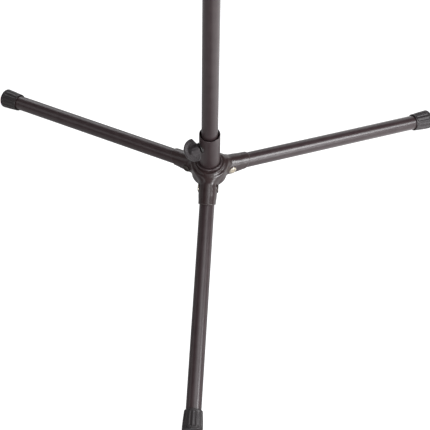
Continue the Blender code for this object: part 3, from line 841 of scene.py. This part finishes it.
def let_loose(points, rows, around):
    """Simulates a fabric tube that is a little too long and wide for the rows that hold its ends."""
    mesh = bpy.data.meshes.new("loose_cloth")
    mesh.from_pydata([tuple(p * SIM_SCALE) for p in points], [], ring_faces(rows, around))
    obj = bpy.data.objects.new("loose_cloth", mesh)
    bpy.context.scene.collection.objects.link(obj)
    held = obj.vertex_groups.new(name="hems")
    held.add(list(range(HEM_ROWS * around)), 1.0, "REPLACE")
    held.add(list(range((rows - HEM_ROWS) * around, rows * around)), 1.0, "REPLACE")
    cloth = obj.modifiers.new("cloth", "CLOTH")
    settings = cloth.settings
    settings.vertex_group_mass = "hems"
    settings.mass = 0.12
    settings.tension_stiffness = settings.compression_stiffness = 12.0
    settings.shear_stiffness = 4.0
    settings.bending_stiffness = 0.4
    settings.shrink_min = -0.07
    settings.use_pressure = True
    settings.uniform_pressure_force = 4.0
    settings.effector_weights.gravity = 0.0
    cloth.point_cache.frame_start, cloth.point_cache.frame_end = 1, SIM_FRAMES
    for number in range(1, SIM_FRAMES + 1):
        bpy.context.scene.frame_set(number)
    solved = obj.evaluated_get(bpy.context.evaluated_depsgraph_get()).to_mesh()
    result = np.array([v.co for v in solved.vertices]) / SIM_SCALE
    bpy.context.scene.frame_set(1)
    bpy.data.objects.remove(obj)
    return result


def sleeve_radius(share):
    """The radius of the taper under the cover, share of the way up."""
    return (SLEEVE_RADII[0] + (SLEEVE_RADII[1] - SLEEVE_RADII[0]) * share) * MM


def cover_points(low, high):
    """The outside of the peg cover: rolled hems, a seam pinch, and creases from the simulation."""
    points, cores = [], []
    for i in range(COVER_ROWS):
        share = i / (COVER_ROWS - 1)
        core = sleeve_radius(share)
        roll = min(1.0, min(share, 1 - share) * (COVER_ROWS - 1) / 2.5)
        puff = 0.62 + 0.2 * math.sqrt(math.sin(math.pi * share)) if 0 < share < 1 else 0.62
        thick = COVER_THICKNESS * puff * math.sqrt(1 - (1 - roll) ** 2)
        for j in range(COVER_AROUND):
            angle = math.tau * j / COVER_AROUND
            wave = math.sin(5 * angle + 9 * share) + 0.7 * math.sin(3 * angle - 23 * share + 1.0)
            pinch = math.exp(-((angle - SEAM_ANGLE) / 0.09) ** 2)
            radius = core + 0.35 * MM + thick * (1 - 0.28 * pinch) + 0.05 * MM * wave * roll
            height = low + (high - low) * share
            points.append((radius * math.cos(angle), radius * math.sin(angle), height))
            cores.append(core)
    points, cores = np.array(points), np.array(cores)
    move = let_loose(points, COVER_ROWS, COVER_AROUND) - points
    length = np.linalg.norm(move, axis=1, keepdims=True)
    moved = points + move * np.minimum(1.0, 1.1 * MM / np.maximum(length, 1e-9))
    radial = np.hypot(moved[:, 0], moved[:, 1])
    least = np.minimum(cores + 1.2 * MM, np.hypot(points[:, 0], points[:, 1]))
    moved[:, :2] *= np.maximum(1.0, least / radial)[:, None]
    moved[:, 2] = np.clip(moved[:, 2], low, high)
    return moved


def build_peg_cover():
    """The velour cover, with its inside lying on the sleeve, and its stitches."""
    low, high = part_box("peg_cover")
    outside = cover_points(low.z, high.z)
    inside = []
    for i in reversed(range(COVER_ROWS)):
        share = i / (COVER_ROWS - 1)
        height = low.z + (high.z - low.z) * share
        inside += circle(sleeve_radius(share) + 0.3 * MM, COVER_AROUND, height)
    faces = ring_faces(2 * COVER_ROWS, COVER_AROUND, closed=True)
    obj = add_mesh("velour_cover", [*outside, *inside], faces, VELOUR, "shaft", ["peg_cover"],
                   sharp=None, slot="velour")
    face_outwards(obj)
    build_stitches(outside)


def stitch(start, end, radius=0.28 * MM, around=8, rows=5):
    """One stitch: a short strand of thread that thins towards its ends."""
    start, end = Vector(start), Vector(end)
    turn = (end - start).to_track_quat("Z", "Y").to_matrix()
    vertices = []
    for i in range(rows):
        share = i / (rows - 1)
        width = radius * (0.45 + 0.55 * math.sin(math.pi * share))
        centre = start.lerp(end, share)
        vertices += [centre + turn @ Vector(point) for point in circle(width, around)]
    last = range((rows - 1) * around, rows * around)
    return vertices, ring_faces(rows, around) + [tuple(range(around)), tuple(reversed(last))]


def build_stitches(outside):
    """Thread along the seam and round both hems, lying on the cover."""
    grid = outside.reshape(COVER_ROWS, COVER_AROUND, 3)
    lift = 1.0 + 0.12 * MM / (13.0 * MM)
    spots = []
    seam = round(SEAM_ANGLE / math.tau * COVER_AROUND)
    for row in range(HEM_ROWS, COVER_ROWS - HEM_ROWS, 2):
        spots.append((grid[row, seam + 1], grid[row + 1, seam + 1]))
    for row in (HEM_ROWS - 1, COVER_ROWS - HEM_ROWS):
        for j in range(0, COVER_AROUND, 4):
            spots.append((grid[row, j], grid[row, (j + 2) % COVER_AROUND]))
    vertices, faces = [], []
    for start, end in spots:
        points, sides = stitch(start * (lift, lift, 1.0), end * (lift, lift, 1.0))
        faces += [tuple(v + len(vertices) for v in side) for side in sides]
        vertices += points
    obj = add_mesh("cover_stitches", vertices, faces, THREAD, "shaft", sharp=None, slot="velour")
    face_outwards(obj)


def build_bell_pad():
    """A thick felt washer with a softly uneven top."""
    low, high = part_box("bell_pad")
    outer, inner, top = high.x, 17.4 * MM, high.z
    profile = [(inner, low.z), (outer - 0.4 * MM, low.z)]
    profile += arc((outer - 0.9 * MM, low.z + 0.9 * MM), 0.9 * MM, -60, 0, 3)
    profile += arc((outer - 1.2 * MM, top - 1.2 * MM), 1.2 * MM, 0, 90, 6) + [(19.5 * MM, top)]
    profile += arc((inner + 0.8 * MM, top - 0.8 * MM), 0.8 * MM, 90, 180, 4)
    vertices, faces = turned(stretch(profile, 1.0 * MM), 120)
    for v in vertices:
        angle = math.atan2(v.y, v.x)
        share = (v.z - low.z) / (top - low.z)
        v.z -= 0.14 * MM * share * (1 + math.sin(4 * angle + 0.6) * math.cos(7 * angle))
    obj = add_mesh("felt_ring", vertices, faces, VELOUR, "shaft", ["bell_pad"], slot="velour")
    face_outwards(obj)


# ---------------------------------------------------------------- carried-over CAD pieces

def dress(node_name, mat):
    """Gives a CAD node that stays visible its material."""
    obj = frame["nodes"][node_name]
    obj.data.materials.clear()
    obj.data.materials.append(mat)


def dress_carried_nodes():
    """The hidden inner pieces, whose CAD shapes are right as they are."""
    for name in ("collar_liner", "shaft_end_plug"):
        dress(name, LINER)
    dress("peg_sleeve", NYLON)
    for side in SIDES:
        dress(f"{side}_leg_bush", LINER)


# ---------------------------------------------------------------- stage

def floor_bounce(tree, place):
    """The floor's glow in reflections: little at the left and front, growing to the right and back."""
    axes = tree.nodes.new("ShaderNodeSeparateXYZ")
    tree.links.new(place, axes.inputs[0])
    total = node(tree, "ShaderNodeMath", operation="ADD")
    for slot, (axis, start, end, most) in enumerate(FLOOR_BOUNCE):
        made = node(tree, "ShaderNodeMapRange", interpolation_type="SMOOTHSTEP")
        made.inputs["From Min"].default_value = start
        made.inputs["From Max"].default_value = end
        made.inputs["To Max"].default_value = most
        tree.links.new(axes.outputs[axis], made.inputs["Value"])
        tree.links.new(made.outputs["Result"], total.inputs[slot])
    return total.outputs["Value"]


def build_floor():
    """A pale floor: white to the camera, with faint contact shadows, and a dimmer grey in reflections."""
    bm = bmesh.new()
    bmesh.ops.create_grid(bm, x_segments=1, y_segments=1, size=6.0)
    mesh = bpy.data.meshes.new("floor")
    bm.to_mesh(mesh)
    bm.free()
    floor = bpy.data.objects.new("floor", mesh)
    floor.location = (0.0, 0.0, cad_low.z)
    mat, tree, shader, place = base_material("floor_white", 0.9, specular=0.0)
    shader.inputs["Base Color"].default_value = (*FLOOR_GREY, 1.0)
    seen = node(tree, "ShaderNodeLightPath").outputs["Is Camera Ray"]
    glow = node(tree, "ShaderNodeEmission", Color=(1.0, 1.0, 1.0, 1.0))
    strength, lit = node(tree, "ShaderNodeMix"), node(tree, "ShaderNodeAddShader")
    tree.links.new(seen, strength.inputs[0])
    tree.links.new(floor_bounce(tree, place), strength.inputs[2])
    strength.inputs[3].default_value = FLOOR_GLOW
    tree.links.new(strength.outputs[0], glow.inputs["Strength"])
    tree.links.new(shader.outputs["BSDF"], lit.inputs[0])
    tree.links.new(glow.outputs["Emission"], lit.inputs[1])
    tree.links.new(lit.outputs["Shader"], tree.nodes["Material Output"].inputs["Surface"])
    mesh.materials.append(mat)
    bpy.context.scene.collection.objects.link(floor)


def softbox(name, azimuth, elevation, distance, size, power):
    """A soft rectangular light that faces the hub from a direction, azimuth counted from +X to +Y."""
    light = bpy.data.lights.new(name, "AREA")
    light.shape = "RECTANGLE"
    light.size, light.size_y = size
    light.energy = power
    light.color = LIGHT_COLOUR
    turn = Matrix.Rotation(math.radians(azimuth), 4, "Z") @ Matrix.Rotation(-math.radians(elevation), 4, "Y")
    place = turn @ Vector((distance, 0.0, 0.0))
    obj = bpy.data.objects.new(name, light)
    obj.location = place
    obj.rotation_euler = (-place).to_track_quat("-Z", "Y").to_euler()
    bpy.context.scene.collection.objects.link(obj)


def build_lights():
    """A black world and the soft boxes."""
    world = bpy.data.worlds.new("studio")
    world.use_nodes = True
    world.node_tree.nodes["Background"].inputs["Color"].default_value = (0.0, 0.0, 0.0, 1.0)
    bpy.context.scene.world = world
    for row in LIGHTS:
        softbox(*row)


def build_camera():
    """The camera, placed by its target, direction and distance."""
    turn = Matrix.Rotation(CAMERA_AZIMUTH, 4, "Z")
    target = turn @ Vector(CAMERA_TARGET) + Vector((0, 0, LEG_ORIGIN_Z))
    back = turn @ Vector((0.0, -math.cos(CAMERA_ELEVATION), math.sin(CAMERA_ELEVATION)))
    camera = bpy.data.cameras.new("camera")
    camera.sensor_width = 36.0
    camera.lens = CAMERA_LENS
    camera.clip_start, camera.clip_end = 0.05, 20.0
    obj = bpy.data.objects.new("camera", camera)
    obj.location = target + back * CAMERA_DISTANCE
    look = (-back).to_track_quat("-Z", "Y").to_matrix().to_4x4()
    obj.rotation_euler = (look @ Matrix.Rotation(CAMERA_ROLL, 4, "Z")).to_euler()
    bpy.context.scene.collection.objects.link(obj)
    bpy.context.scene.camera = obj


def build_all():
    """Every piece, then the stage."""
    build_hub()
    build_base_plug()
    build_collar()
    build_shaft()
    build_knob()
    build_clamp_boss()
    build_clamp_screw()
    for side in SIDES:
        build_leg(side)
        build_foot(side)
        build_pivot(side)
    build_peg_flange()
    build_peg_cap()
    build_peg_cover()
    build_bell_pad()
    dress_carried_nodes()
    build_floor()
    build_lights()
    build_camera()
    bpy.context.scene.view_settings.view_transform = "Standard"


build_all()
